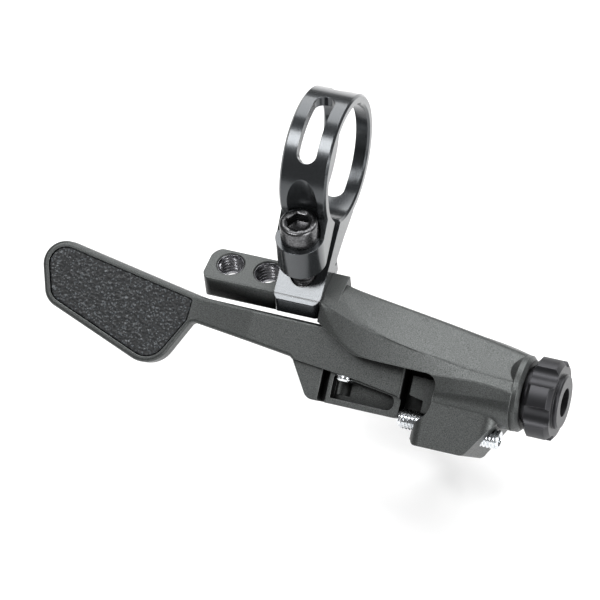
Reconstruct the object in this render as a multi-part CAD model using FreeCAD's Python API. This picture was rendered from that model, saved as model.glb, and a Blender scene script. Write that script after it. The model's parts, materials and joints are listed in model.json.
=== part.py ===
"""Dropper post remote: thumb lever on a bar clamp with a barrel adjuster, in millimetres.

The origin is the middle of the bar clamp's bore. +X runs along the handlebar towards the barrel
adjuster and +Z along the clamp bolt, out of its head. The housing and the lever are drawn in the
riding position, x along the bar, y away from the rider and z up, and then turned about the bar.
"""
import FreeCAD, Part
import math
import os

V = FreeCAD.Vector

# Bar clamp
bar_diameter = 22.2
clamp_width = 9.3
band_wall = 2.0
band_edge_bevel = 0.4
window_width = 3.9
front_window_deg = (73.0, 139.0)
back_window_deg = (-86.0, 52.0)
ear_thickness = 7.0
seat_drop = 5.3
foot_slope_deg = 32.7
saddle_lip = 0.9
saddle_lip_reach = 4.2
saddle_back = 1.8
pin_hole_diameter = 0.6

# Clamp bolt
bolt_diameter = 5.0
bolt_head_diameter = 7.2
bolt_head_height = 4.2
bolt_length = 16.0
bolt_key = 4.0
bolt_offset = 15.6

# Mounting rail of the housing
rail_drop = 17.6
rail_width = 8.0
rail_thickness = 5.5
rail_end = 19.3
rail_corner = 1.6
rail_shift = 0.5
rail_hole_pitch = 7.5
rail_hole_count = 3
countersink_depth = 0.3

# Riding position of the housing about the bar
roll_deg = 51.0

# Housing
barrel_height = -35.0
barrel_depth = 4.0
barrel_radius = 7.3
barrel_end = 47.0
neck_start = 4.9
hood_wall_depth = 1.8
hood_ceiling = -30.4
cavity_left = 5.2
lip_height = -35.1
slot_floor = -45.2
ear_floor = -48.8
ear_ceiling = -32.6
ear_top = -27.4
ear_radius = 7.0
block_left = 27.7
block_right = 42.6
block_front_depth = -1.6

# Barrel adjuster
adjuster_thread = 8.0
adjuster_thread_length = 4.6
guide_diameter = 10.2
guide_length = 5.0
knob_diameter = 15.7
knob_length = 5.0
knob_gap = 1.0
knob_lobes = 6
knob_scallop = 2.6
knob_collar = 10.4
knob_collar_length = 0.9
housing_socket_diameter = 5.5
housing_socket_length = 8.0
cable_hole_diameter = 2.0
seal_section = 1.2

# Lever
pivot_x = 31.0
pivot_depth = 13.3
hub_radius = 6.5
hub_gap = 0.4
hub_wing = 1.7
arm_front_depth = 2.2
arm_top = -30.8
arm_end = 23.4
stub_step = 1.0
stub_bottom = -44.8
pocket_depth = 2.6
pocket_left = 9.8
cable_slot_width = 1.6
cable_slot_x = 8.2
paddle_thickness = 3.6
paddle_turn_deg = 5.0
paddle_joint_x = -19.0
paddle_step = 1.6
paddle_rim = 1.1
tape_recess = 0.8
tape_thickness = 0.6
edge_round = 0.6

# Pivot bearings, 6 x 10 x 3 mm
bearing_bore = 6.0
bearing_outer = 10.0
bearing_width = 3.0
bearing_ball = 1.2
bearing_balls = 9
ring_wall = 0.65

# Pivot bolt
axle_head_diameter = 8.8
axle_head_height = 2.0
axle_key = 3.0
axle_thread = 5.0
axle_thread_length = 4.4

# Set screws
pinch_diameter = 4.0
pinch_length = 4.0
pinch_x = 11.6
pinch_key = 2.0
reach_diameter = 4.0
reach_length = 20.0
reach_height = -44.4
reach_gap = 0.9
reach_key = 2.0

# Clearances
thread_clearance = 0.05
slide_clearance = 0.05
seat_clearance = 0.02
cap_clearance = 0.35
bolt_clearance = 0.25

# Places worked out from the sizes above
bore_radius = bar_diameter / 2
clamp_radius = bore_radius + band_wall
half_width = clamp_width / 2
half_rail = rail_width / 2
rail_middle_y = -bolt_offset - rail_shift
rail_front_y = rail_middle_y - half_rail
rail_back_y = rail_middle_y + half_rail
rail_bottom = -rail_drop - rail_thickness
hub_top = ear_ceiling - hub_gap
hub_bottom = slot_floor + hub_gap
bearing_radius = bearing_outer / 2
race_radius = (bearing_bore + bearing_outer) / 4
knob_face = barrel_end + knob_gap
guide_start = barrel_end - guide_length
thread_start = guide_start - adjuster_thread_length
reach_tip = arm_end + slide_clearance
reach_depth = pivot_depth - hub_radius - reach_diameter / 2 - reach_gap
arm_back_depth = pivot_depth - hub_radius + hub_wing
hub_edge = (hub_radius - bearing_radius) / 4
paddle_front = arm_front_depth - paddle_step
seal_x = guide_start + 1.6
seal_groove_floor = guide_diameter / 2 - seal_section * 0.75


def box(x0, x1, y0, y1, z0, z1):
    """A box between two corners."""
    return Part.makeBox(x1 - x0, y1 - y0, z1 - z0, V(x0, y0, z0))


def rod_x(radius, x0, x1, y, z):
    """A round bar along X."""
    return Part.makeCylinder(radius, x1 - x0, V(x0, y, z), V(1, 0, 0))


def rod_z(radius, z0, z1, x, y):
    """A round bar along Z."""
    return Part.makeCylinder(radius, z1 - z0, V(x, y, z0), V(0, 0, 1))


def hex_prism(across_flats, depth, base, direction):
    """A hexagonal socket's volume, from its mouth at base inwards along direction."""
    radius = across_flats / math.sqrt(3)
    corners = [V(radius * math.cos(math.radians(60 * k)), radius * math.sin(math.radians(60 * k)), 0)
               for k in range(7)]
    prism = Part.Face(Part.makePolygon(corners)).extrude(V(0, 0, depth))
    prism.Placement = FreeCAD.Placement(base, FreeCAD.Rotation(V(0, 0, 1), direction))
    return prism


def rounded_wire(corners, place):
    """A closed wire of straight runs joined by tangent arcs.

    corners holds (a, b, radius) in order, and place turns (a, b) into a point in space.
    """
    count = len(corners)
    tangents = []
    for i, (a, b, radius) in enumerate(corners):
        here = V(a, b, 0)
        before = (V(*corners[i - 1][:2], 0) - here).normalize()
        after = (V(*corners[(i + 1) % count][:2], 0) - here).normalize()
        half_angle = before.getAngle(after) / 2
        run = radius / math.tan(half_angle)
        bisector = (before + after).normalize()
        middle = here + bisector * (radius / math.sin(half_angle) - radius)
        tangents.append((here + before * run, middle, here + after * run))
    edges = []
    for i, (start, middle, end) in enumerate(tangents):
        edges.append(Part.Arc(place(start), place(middle), place(end)).toShape())
        following = tangents[(i + 1) % count][0]
        edges.append(Part.LineSegment(place(end), place(following)).toShape())
    return Part.Wire(edges)


def front_prism(corners, y0, y1):
    """An outline seen from the rider, x against z, extruded from depth y0 to y1."""
    wire = rounded_wire(corners, lambda p: V(p.x, y0, p.y))
    return Part.Face(wire).extrude(V(0, y1 - y0, 0))


def plan_prism(corners, z0, z1):
    """An outline seen from above, x against y, extruded from z0 to z1."""
    wire = rounded_wire(corners, lambda p: V(p.x, p.y, z0))
    return Part.Face(wire).extrude(V(0, 0, z1 - z0))


def end_prism(corners, x0, x1):
    """An outline seen along the bar, y against z, extruded from x0 to x1."""
    wire = rounded_wire(corners, lambda p: V(x0, p.x, p.y))
    return Part.Face(wire).extrude(V(x1 - x0, 0, 0))


def turned(profile, y, z):
    """A turned piece: (x, radius) points revolved about the line along X through (y, z)."""
    points = [V(x, y, z + radius) for x, radius in profile]
    face = Part.Face(Part.makePolygon(points + [points[0]]))
    return face.revolve(V(0, y, z), V(1, 0, 0), 360)


def turned_z(profile, x, y):
    """A turned piece: (radius, z) points revolved about the line along Z through (x, y)."""
    points = [V(x + radius, y, z) for radius, z in profile]
    face = Part.Face(Part.makePolygon(points + [points[0]]))
    return face.revolve(V(x, y, 0), V(0, 0, 1), 360)


def ride(shape):
    """Turn a shape from the riding position into the clamp's frame."""
    shape.rotate(V(0, 0, 0), V(1, 0, 0), -roll_deg)
    return shape


def unride(shape):
    """Turn a shape from the clamp's frame into the riding position."""
    shape.rotate(V(0, 0, 0), V(1, 0, 0), roll_deg)
    return shape


def save(node, shape):
    """Write one piece."""
    shape.exportStep("parts/" + node + ".step")


def band_window(start_deg, end_deg):
    """The slot along the middle of the clamp band, with round ends."""
    half = window_width / 2
    inner = bore_radius - 1
    outer = clamp_radius + 1.5
    end_deg_inset = math.degrees(half / clamp_radius)
    start = start_deg + end_deg_inset
    sweep = end_deg - end_deg_inset - start
    corners = [V(-half, inner, 0), V(half, inner, 0), V(half, outer, 0), V(-half, outer, 0)]
    face = Part.Face(Part.makePolygon(corners + [corners[0]]))
    face.rotate(V(0, 0, 0), V(1, 0, 0), start)
    window = face.revolve(V(0, 0, 0), V(1, 0, 0), sweep)
    for angle in (start, start + sweep):
        out = V(0, math.cos(math.radians(angle)), math.sin(math.radians(angle)))
        window = window.fuse(Part.makeCylinder(half, outer - inner, out * inner, out))
    return window


def make_bar_clamp():
    """The one-piece band: ring, front ear over the gap, and the foot that saddles the rail."""
    bevel = band_edge_bevel
    hoop = window_width / 2
    ring = turned([(-half_width, 0), (half_width, 0), (half_width, clamp_radius - bevel),
                   (half_width - bevel, clamp_radius), (-half_width + bevel, clamp_radius),
                   (-half_width, clamp_radius - bevel)], 0, 0)
    bore = turned([(-half_width, 0), (-half_width, bore_radius + bevel), (-half_width + bevel, bore_radius),
                   (-hoop, bore_radius), (hoop, bore_radius), (half_width - bevel, bore_radius),
                   (half_width, bore_radius + bevel), (half_width, 0)], 0, 0)
    seat_z = -seat_drop
    ear_bottom = seat_z - ear_thickness
    ear = box(-half_width, half_width, -bolt_offset, -bore_radius + 3, ear_bottom, seat_z)
    ear = ear.fuse(rod_z(half_width, ear_bottom, seat_z, 0, -bolt_offset))
    ear_crown = end_prism([(-bore_radius - 0.8, 0.0, 0.2), (-bore_radius - 1.4, -2.6, 2.0),
                           (-bolt_offset - 0.3, seat_z - 0.6, 0.2), (-bore_radius + 1, seat_z - 0.6, 0.2)],
                          -half_width, half_width)
    lip_front = rail_front_y - slide_clearance - saddle_lip
    slope = math.tan(math.radians(foot_slope_deg))
    crest_y = -6.6
    crest_z = -8.9
    lip_top = crest_z - (crest_y - lip_front) * slope
    foot_back = rail_back_y + slide_clearance + saddle_back
    foot = end_prism([(crest_y, crest_z, 0.3), (0.5, -bore_radius + 1, 0.2), (-0.6, -clamp_radius + 0.1, 0.1),
                      (-5.6, -clamp_radius - 1.2, 2.0), (foot_back, -rail_drop + 1.6, 0.8),
                      (foot_back, -rail_drop - 1.4, 0.5),
                      (rail_back_y + slide_clearance, -rail_drop - 1.4, 0.2),
                      (rail_back_y + slide_clearance, -rail_drop, 0.02),
                      (rail_front_y - slide_clearance, -rail_drop, 0.02),
                      (rail_front_y - slide_clearance, -rail_drop - saddle_lip_reach, 0.2),
                      (lip_front, -rail_drop - saddle_lip_reach, 0.4), (lip_front, lip_top, 0.3)],
                     -half_width, half_width)
    foot_plan = plan_prism([(-half_width, lip_front, 1.4), (half_width, lip_front, 2.0),
                            (half_width, 4, 0.2), (-half_width, 4, 0.2)], -30, 5)
    foot = foot.common(foot_plan)
    clamp = ring.fuse([ear, ear_crown, foot]).removeSplitter().cut(bore)
    gap = end_prism([(-6.4, -3.8, 0.1), (-bolt_offset + 0.1, -11.7, 1.2), (-bolt_offset - 8, ear_bottom, 0.1),
                     (-bolt_offset - 8, crest_z + (-bolt_offset - 8 - crest_y) * slope, 0.1),
                     (crest_y + 3, crest_z + 3 * slope, 0.1)], -half_width - 1, half_width + 1)
    bevel_cut = gap.common(ring.fuse(box(-half_width, half_width, -30, 0, -30, 0)))
    clamp = clamp.cut(bevel_cut)
    for window_deg in (front_window_deg, back_window_deg):
        clamp = clamp.cut(band_window(*window_deg))
    shank_hole = bolt_diameter / 2 + bolt_clearance
    clamp = clamp.cut(rod_z(shank_hole, -rail_drop - 1, seat_z + 1, 0, -bolt_offset))
    spotface = bolt_head_diameter / 2 + cap_clearance
    clamp = clamp.cut(rod_z(spotface, seat_z, 6, 0, -bolt_offset))
    pin_hole = rod_x(pin_hole_diameter / 2, half_width - 1.5, half_width + 1, -11.0, -16.6)
    return clamp.cut(pin_hole)


def make_clamp_bolt():
    """The socket cap screw that closes the clamp and pulls its foot down on the rail."""
    seat_z = -seat_drop
    head = bolt_head_diameter / 2
    shank = bolt_diameter / 2 - thread_clearance
    tip = seat_z - bolt_length
    top = seat_z + bolt_head_height
    bolt = turned_z([(0, tip), (shank - 0.5, tip), (shank, tip + 0.5), (shank, seat_z), (head, seat_z),
                     (head, top - 0.5), (head - 0.5, top), (0, top)], 0, -bolt_offset)
    socket = hex_prism(bolt_key, 2.4, V(0, -bolt_offset, top), V(0, 0, -1))
    mouth = turned_z([(0, top - 0.35), (bolt_key * 0.58, top - 0.35), (bolt_key * 0.64, top), (0, top)],
                     0, -bolt_offset)
    return bolt.cut(socket).cut(mouth)


def make_rail():
    """The rail that the clamp's foot sits on, in the clamp's frame."""
    rail = plan_prism([(-rail_end, rail_front_y, rail_corner), (neck_start + 3, rail_front_y, 0.2),
                       (neck_start + 3, rail_back_y, 0.2), (-rail_end, rail_back_y, rail_corner + 1.2)],
                      rail_bottom, -rail_drop)
    profile = end_prism([(rail_front_y, -rail_drop, 0.5), (rail_front_y, rail_bottom, 0.9),
                         (rail_back_y, rail_bottom, 0.9), (rail_back_y, -rail_drop, 0.5)],
                        -rail_end - 1, neck_start + 4)
    return rail.common(profile)


def body_section(x, corners):
    """One section of the housing seen along the bar: (depth, height, radius) corners."""
    return rounded_wire(corners, lambda p: V(x, p.x, p.y))


def make_housing_body():
    """The housing's skin, lofted from the rail to the round barrel."""
    far = barrel_depth + barrel_radius
    near = barrel_depth - barrel_radius
    top = barrel_height + barrel_radius
    bottom = barrel_height - barrel_radius
    neck = body_section(neck_start, [(6.2, -20.9, 1.0), (0.9, -26.6, 0.6), (0.9, -30.5, 0.5),
                                     (5.3, -30.5, 0.5), (10.0, -24.2, 0.8), (8.3, -22.5, 0.6)])
    waist = body_section(17.0, [(4.6, -23.4, 1.6), (-1.4, -29.8, 0.8), (-1.6, -35.3, 0.6),
                                (-0.6, -38.4, 1.0), (10.5, -36.0, 2.5), (10.8, -26.0, 3.0)])
    middle = body_section(30.0, [(3.4, -25.2, 2.0), (-2.5, -32.0, 0.8), (-2.8, -35.3, 0.7),
                                 (-2.2, -41.0, 3.0), (far - 0.2, -40.5, 4.6), (far - 0.2, -26.6, 4.6)])
    end = body_section(barrel_end - 1.6, [(barrel_depth - 2.4, top, 2.6),
                                          (near + 0.3, barrel_height + 1.8, 0.9),
                                          (near, barrel_height - 0.5, 0.9), (near + 0.6, bottom, 5.6),
                                          (far, bottom, 6.6), (far, top, 6.6)])
    loft = Part.makeLoft([neck, waist, middle, end], True, False)
    edge = 0.7
    collar = turned([(barrel_end - 4, 0), (barrel_end - 4, barrel_radius - 1.2),
                     (barrel_end - 1.7, barrel_radius - 0.05),
                     (barrel_end - edge, barrel_radius - 0.05), (barrel_end, barrel_radius - edge),
                     (barrel_end, 0)], barrel_depth, barrel_height)
    return loft.fuse(collar)


def make_pivot_block():
    """The lower block: the pivot's lower ear and, in front of it, the seat of the reach screw."""
    right = block_right
    seat = front_prism([(block_left, -38.0, 0.3), (block_left, ear_floor, 1.2),
                        (right - 4.2, ear_floor, 1.6), (right + 1.6, -40.0, 0.8)], -20, 40)
    plan = plan_prism([(block_left, block_front_depth, 2.4), (right + 1, block_front_depth, 3.0),
                       (right + 1, pivot_depth - 2, 3.0), (pivot_x + ear_radius, pivot_depth + 1, 2.0),
                       (pivot_x, pivot_depth + ear_radius, 4.0),
                       (pivot_x - ear_radius + 2, pivot_depth + 1, 2.0)], ear_floor, -38.0)
    block = seat.common(plan)
    lower_ear = turned_z([(0, ear_floor), (ear_radius - 0.8, ear_floor), (ear_radius, ear_floor + 0.8),
                          (ear_radius, slot_floor), (0, slot_floor)], pivot_x, pivot_depth)
    return block.fuse(lower_ear)


def make_upper_ear():
    """The boss over the lever's hub that the pivot bolt screws into."""
    ear = turned_z([(0, ear_ceiling), (ear_radius, ear_ceiling), (ear_radius, ear_top - 1.2),
                    (ear_radius - 1.2, ear_top), (0, ear_top)], pivot_x, pivot_depth)
    left = pivot_x - ear_radius
    right = pivot_x + ear_radius
    web = plan_prism([(left, barrel_depth + 3, 0.2), (right, barrel_depth + 3, 0.2),
                      (right, pivot_depth, 0.5), (left, pivot_depth, 0.5)], ear_ceiling, ear_top - 1.2)
    return ear.fuse(web)


def make_hood_space():
    """What is cut away for the lever: the space under the hood and the open front below its lip."""
    far = 40
    under_hood = box(-40, arm_end + 1.5, hood_wall_depth, far, -60, hood_ceiling)
    hub_slot_front = pivot_depth - hub_radius - 0.55
    hub_slot = box(-5, pivot_x, hub_slot_front, far, slot_floor, ear_ceiling)
    hub_slot = hub_slot.fuse(rod_z(ear_radius + 0.3, slot_floor, ear_ceiling, pivot_x, pivot_depth))
    hub_slot = hub_slot.fuse(box(pivot_x, pivot_x + ear_radius + 0.3, pivot_depth, far, slot_floor,
                                 ear_ceiling))
    front = front_prism([(-40, hood_ceiling, 0.2), (cavity_left, hood_ceiling, 0.4),
                         (13.4, lip_height + 0.2, 5.0), (18.0, lip_height, 4.0),
                         (block_left + 3.5, lip_height - 0.1, 2.2),
                         (block_left + 2.4, -42.6, 3.2), (block_left - 0.6, -45.4, 0.6),
                         (block_left - 0.6, -60, 0.2), (-40, -60, 0.2)], -20, hood_wall_depth + 1)
    return under_hood.fuse([hub_slot, front])


def make_lever_housing():
    """The housing: rail, hooded body, pivot ears and barrel in one piece."""
    body = make_housing_body()
    body = body.fuse([make_pivot_block(), make_upper_ear()])
    body = body.cut(make_hood_space())
    housing = ride(body).fuse(make_rail())
    mouth = bolt_diameter / 2
    for k in range(rail_hole_count):
        x = -k * rail_hole_pitch
        housing = housing.cut(rod_z(mouth, rail_bottom - 1, -rail_drop + 1, x, -bolt_offset))
        sink = turned_z([(0, -rail_drop + 0.1), (mouth + countersink_depth + 0.1, -rail_drop + 0.1),
                         (mouth - 0.1, -rail_drop - countersink_depth - 0.1), (0, -rail_drop - 1)],
                        x, -bolt_offset)
        housing = housing.cut(sink)
    housing = unride(housing)
    bore = adjuster_thread / 2
    housing = housing.cut(rod_x(bore, thread_start - 0.8, barrel_end, barrel_depth, barrel_height))
    guide = guide_diameter / 2 + 2 * slide_clearance + 0.25
    housing = housing.cut(rod_x(guide, guide_start, barrel_end + 1, barrel_depth, barrel_height))
    passage = box(arm_end, thread_start, barrel_depth - 1.2, pivot_depth - hub_radius, barrel_height - 1.2,
                  barrel_height + 1.2)
    housing = housing.cut(passage)
    housing = housing.cut(rod_z(axle_thread / 2, ear_ceiling - 1, ear_ceiling + axle_thread_length + 0.4,
                                pivot_x, pivot_depth))
    housing = housing.cut(rod_z(bearing_bore / 2 + slide_clearance, ear_floor - 1, slot_floor + 1,
                                pivot_x, pivot_depth))
    head_pocket = axle_head_diameter / 2 + cap_clearance
    housing = housing.cut(rod_z(head_pocket, ear_floor - 1, ear_floor + axle_head_height + 0.2,
                                pivot_x, pivot_depth))
    housing = housing.cut(rod_x(reach_diameter / 2, block_left - 3, block_right + 6, reach_depth,
                                reach_height))
    return ride(housing)


def lever_outline():
    """The lever seen from the rider: paddle, arm and stub, as (x, z, radius) corners."""
    return [(-51.6, -24.3, 4.4), (-18.0, -30.5, 12.0), (arm_end, arm_top, 0.8), (arm_end, stub_bottom, 0.8),
            (5.3, stub_bottom, 2.0), (0.9, -37.8, 1.0), (-19.2, -35.4, 1.2), (-24.7, -46.2, 5.2),
            (-47.7, -37.4, 4.0)]


def paddle_outline():
    """The paddle's own face, which the grip tape covers."""
    return [(-51.6, -24.3, 4.4), (-18.6, -30.3, 1.6), (-18.9, -35.6, 1.6), (-24.7, -46.2, 5.2),
            (-47.7, -37.4, 4.0)]


def on_paddle(shape):
    """Lean a shape drawn flat at the paddle's front face into the paddle's plane."""
    shape.translate(V(0, paddle_front, 0))
    shape.rotate(V(paddle_joint_x, paddle_front, 0), V(0, 0, 1), paddle_turn_deg)
    return shape


def paddle_inset(inset, depth0, depth1):
    """The paddle's outline moved inwards and given a thickness, in the paddle's plane."""
    wire = rounded_wire(paddle_outline(), lambda p: V(p.x, depth0, p.y))
    inner = Part.Face(wire).makeOffset2D(-inset)
    return on_paddle(Part.Face(inner.OuterWire).extrude(V(0, depth1 - depth0, 0)))


def make_lever():
    """The lever: paddle, arm, stub and pivot hub in one piece."""
    lean = math.tan(math.radians(paddle_turn_deg))
    tip_x = -53.0
    tip_front = paddle_front - (paddle_joint_x - tip_x) * lean
    joint_back = paddle_front + paddle_thickness
    plan = [(tip_x, tip_front, 0.2), (paddle_joint_x, paddle_front, 6.0), (-8.0, arm_front_depth, 6.0),
            (arm_end + 1, arm_front_depth, 0.4), (arm_end + 1, arm_back_depth + 0.1, 0.4),
            (8.0, arm_back_depth - 0.1, 4.0), (paddle_joint_x + 3, joint_back + 0.6, 6.0),
            (tip_x, tip_front + paddle_thickness - 0.4, 0.2)]
    lever = plan_prism(plan, -50, -20).common(front_prism(lever_outline(), -20, 20))
    front_edges = [edge for edge in lever.Edges if rounds_front(edge)]
    lever = lever.makeFillet(edge_round, front_edges)
    below_arm = front_prism([(1.7, -38.1, 0.2), (15.0, -39.4, 4.0), (arm_end - 0.6, -40.6, 1.2),
                             (arm_end + 3, -44.0, 0.3), (arm_end + 3, -50, 0.2),
                             (-3, -50, 0.2), (-3, -38.1, 0.2)], -20, arm_front_depth + stub_step)
    lever = lever.cut(below_arm)
    stub_front = arm_front_depth + stub_step
    pocket = front_prism([(pocket_left, -39.2, 0.3), (arm_end - 1.2, -40.9, 1.2), (arm_end - 1.2, -43.7, 1.4),
                          (pocket_left, -43.7, 0.3)], stub_front - 1, stub_front + pocket_depth)
    lever = lever.cut(pocket)
    slot = box(cable_slot_x - cable_slot_width / 2, cable_slot_x + cable_slot_width / 2,
               stub_front, stub_front + 3.0, stub_bottom - 1, barrel_height + 1.0)
    lever = lever.cut(slot)
    hub = turned_z([(0, hub_bottom), (hub_radius - hub_edge, hub_bottom), (hub_radius, hub_bottom + hub_edge),
                    (hub_radius, hub_top - hub_edge), (hub_radius - hub_edge, hub_top), (0, hub_top)],
                   pivot_x, pivot_depth)
    web_front = pivot_depth - hub_radius + 0.1
    web = plan_prism([(arm_end - 9, web_front, 0.2), (arm_end, web_front, 0.2),
                      (pivot_x - 2.6, web_front + 0.5, 0.3), (pivot_x, pivot_depth, 0.2),
                      (pivot_x - 1.5, pivot_depth + hub_radius - 0.2, 0.3),
                      (arm_end - 11, arm_back_depth, 3.0)], hub_bottom, hub_top)
    web = web.cut(pocket).cut(slot)
    lever = lever.fuse([hub, web])
    for seat_low in (hub_bottom, hub_top - bearing_width):
        lever = lever.cut(rod_z(bearing_radius, seat_low, seat_low + bearing_width, pivot_x, pivot_depth))
    lever = lever.cut(rod_z(bearing_radius - 0.9, hub_bottom, hub_top, pivot_x, pivot_depth))
    lever = lever.cut(rod_x(cable_hole_diameter / 2, cable_slot_x + cable_slot_width / 2, arm_end + 2,
                            barrel_depth, barrel_height))
    lever = lever.cut(rod_z(pinch_diameter / 2, stub_bottom + 2, barrel_height, pinch_x, barrel_depth + 0.3))
    lever = lever.cut(paddle_inset(paddle_rim, -2, tape_recess))
    return ride(lever.removeSplitter())


def rounds_front(edge):
    """True for the edges around the lever's front face and around its back face."""
    middle = edge.valueAt((edge.FirstParameter + edge.LastParameter) / 2)
    ends = [vertex.Point for vertex in edge.Vertexes]
    along = max(abs(point.y - middle.y) for point in ends)
    length = edge.Length
    return length > 1.0 and along < 0.45 * length and middle.x < arm_end - 0.2 and middle.x > -52.5


def make_grip_tape():
    """The die-cut grip tape in the paddle's recess."""
    return ride(paddle_inset(paddle_rim + 0.15, tape_recess - tape_thickness, tape_recess))


def faceted_ball(radius, centre):
    """A ball with 48 flat facets, plain because it runs unseen between its seals."""
    sides = 8
    turn = 2 * math.pi / sides
    rings = []
    for latitude in (-math.pi / 4, 0, math.pi / 4):
        rings.append([centre + V(radius * math.cos(latitude) * math.cos(turn * k),
                                 radius * math.cos(latitude) * math.sin(turn * k),
                                 radius * math.sin(latitude)) for k in range(sides)])
    low_pole = centre - V(0, 0, radius)
    high_pole = centre + V(0, 0, radius)
    faces = []
    for k in range(sides):
        after = (k + 1) % sides
        outlines = [[low_pole, rings[0][after], rings[0][k]], [high_pole, rings[2][k], rings[2][after]]]
        for lower, upper in ((rings[0], rings[1]), (rings[1], rings[2])):
            outlines.append([lower[k], lower[after], upper[after], upper[k]])
        faces += [Part.Face(Part.makePolygon(outline + [outline[0]])) for outline in outlines]
    return Part.Solid(Part.Shell(faces))


def make_bearing(seat_low):
    """One pivot bearing: outer ring, inner ring, balls, cage and the pair of seals."""
    middle = seat_low + bearing_width / 2
    inner = bearing_bore / 2
    outer = bearing_radius - 0.01
    ball = bearing_ball / 2
    high = seat_low + bearing_width
    groove = ball + 0.03
    inner_wall = inner + ring_wall
    outer_wall = outer - ring_wall
    outer_ring = turned_z([(outer, seat_low), (outer, high), (outer_wall, high),
                           (outer_wall, middle + ball), (race_radius + groove, middle + ball / 3),
                           (race_radius + groove, middle - ball / 3), (outer_wall, middle - ball),
                           (outer_wall, seat_low)], pivot_x, pivot_depth)
    inner_ring = turned_z([(inner, seat_low), (inner_wall, seat_low), (inner_wall, middle - ball),
                           (race_radius - groove, middle - ball / 3),
                           (race_radius - groove, middle + ball / 3), (inner_wall, middle + ball),
                           (inner_wall, high), (inner, high)], pivot_x, pivot_depth)
    cage_low = middle - 0.25
    cage_high = middle + 1.0
    cage = rod_z(outer_wall - 0.08, cage_low, cage_high, pivot_x, pivot_depth)
    cage = cage.cut(rod_z(inner_wall + 0.08, cage_low, cage_high, pivot_x, pivot_depth))
    half_pocket = ball + 0.06
    balls = []
    for k in range(bearing_balls):
        angle = 360 * k / bearing_balls
        place = V(pivot_x + race_radius * math.cos(math.radians(angle)),
                  pivot_depth + race_radius * math.sin(math.radians(angle)), middle)
        balls.append(faceted_ball(ball, place))
        pocket = box(place.x - 1, place.x + 1, place.y - half_pocket, place.y + half_pocket, cage_low - 1,
                     middle + half_pocket)
        pocket.rotate(place, V(0, 0, 1), angle)
        cage = cage.cut(pocket)
    seals = []
    for low in (seat_low + 0.06, high - 0.31):
        seal = rod_z(outer_wall, low, low + 0.25, pivot_x, pivot_depth)
        seals.append(seal.cut(rod_z(inner_wall + 0.08, low, low + 0.25, pivot_x, pivot_depth)))
    return outer_ring, inner_ring, Part.makeCompound(balls), cage, Part.makeCompound(seals)


def make_pivot_bolt():
    """The shoulder bolt that the lever turns on, from below into the upper ear."""
    shoulder = bearing_bore / 2 - seat_clearance
    thread = axle_thread / 2 - thread_clearance
    head = axle_head_diameter / 2
    seat = ear_floor + axle_head_height + 0.2
    low = seat - axle_head_height
    tip = ear_ceiling + axle_thread_length
    bolt = turned_z([(0, low), (head - 0.4, low), (head, low + 0.4), (head, seat), (shoulder, seat),
                     (shoulder, ear_ceiling), (thread, ear_ceiling), (thread, tip - 0.5),
                     (thread - 0.5, tip), (0, tip)], pivot_x, pivot_depth)
    return bolt.cut(hex_prism(axle_key, 1.6, V(pivot_x, pivot_depth, low), V(0, 0, 1)))


def make_ring_spacer(low, high, radius):
    """A plain sleeve or shim round the pivot bolt."""
    ring = rod_z(radius, low, high, pivot_x, pivot_depth)
    return ring.cut(rod_z(bearing_bore / 2, low, high, pivot_x, pivot_depth))


def make_barrel_adjuster():
    """The hollow adjuster: lobed knob, plain guide with a seal groove, and thread."""
    thread = adjuster_thread / 2 - thread_clearance
    guide = guide_diameter / 2
    knob = knob_diameter / 2
    knob_end = knob_face + knob_length
    collar = knob_collar / 2
    half_groove = seal_section * 0.6
    profile = [(thread_start, 0), (thread_start, thread - 0.5), (thread_start + 0.5, thread),
               (guide_start + 0.1, thread), (guide_start + 0.1, guide - 0.3), (guide_start + 0.4, guide),
               (seal_x - half_groove, guide), (seal_x - half_groove, seal_groove_floor),
               (seal_x + half_groove, seal_groove_floor), (seal_x + half_groove, guide),
               (knob_face, guide), (knob_face, knob - 0.9), (knob_face + 0.7, knob),
               (knob_end - 0.7, knob), (knob_end, knob - 0.9), (knob_end, collar),
               (knob_end + knob_collar_length - 0.3, collar), (knob_end + knob_collar_length, collar - 0.3),
               (knob_end + knob_collar_length, 0)]
    adjuster = turned(profile, barrel_depth, barrel_height)
    for k in range(knob_lobes):
        angle = 2 * math.pi * (k + 0.5) / knob_lobes
        reach = knob + knob_scallop * 0.45
        y = barrel_depth + reach * math.cos(angle)
        z = barrel_height + reach * math.sin(angle)
        adjuster = adjuster.cut(rod_x(knob_scallop, knob_face - 0.01, knob_end + 0.01, y, z))
    end = knob_end + knob_collar_length
    socket = rod_x(housing_socket_diameter / 2, end - housing_socket_length, end, barrel_depth, barrel_height)
    cable = rod_x(cable_hole_diameter / 2, thread_start - 1, end, barrel_depth, barrel_height)
    return ride(adjuster.cut(socket).cut(cable))


def make_adjuster_seal():
    """The O-ring that keeps the adjuster from creeping, its section drawn with eight sides."""
    radius = seal_section / 2
    middle = seal_groove_floor + 0.03 + radius
    section = []
    for k in range(8):
        angle = math.radians(22.5 + 45 * k)
        section.append((seal_x + radius * math.cos(angle), middle + radius * math.sin(angle)))
    return ride(turned(section, barrel_depth, barrel_height))


def set_screw(diameter, length, key, tip, direction):
    """A headless screw: tip at tip, running along direction to its socket end."""
    radius = diameter / 2 - thread_clearance
    screw = turned_z([(0, 0), (radius - 0.6, 0), (radius, 0.6), (radius, length - 0.35),
                      (radius - 0.35, length), (0, length)], 0, 0)
    screw = screw.cut(hex_prism(key, 2.0, V(0, 0, length), V(0, 0, -1)))
    screw.Placement = FreeCAD.Placement(tip, FreeCAD.Rotation(V(0, 0, 1), direction))
    return screw


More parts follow.
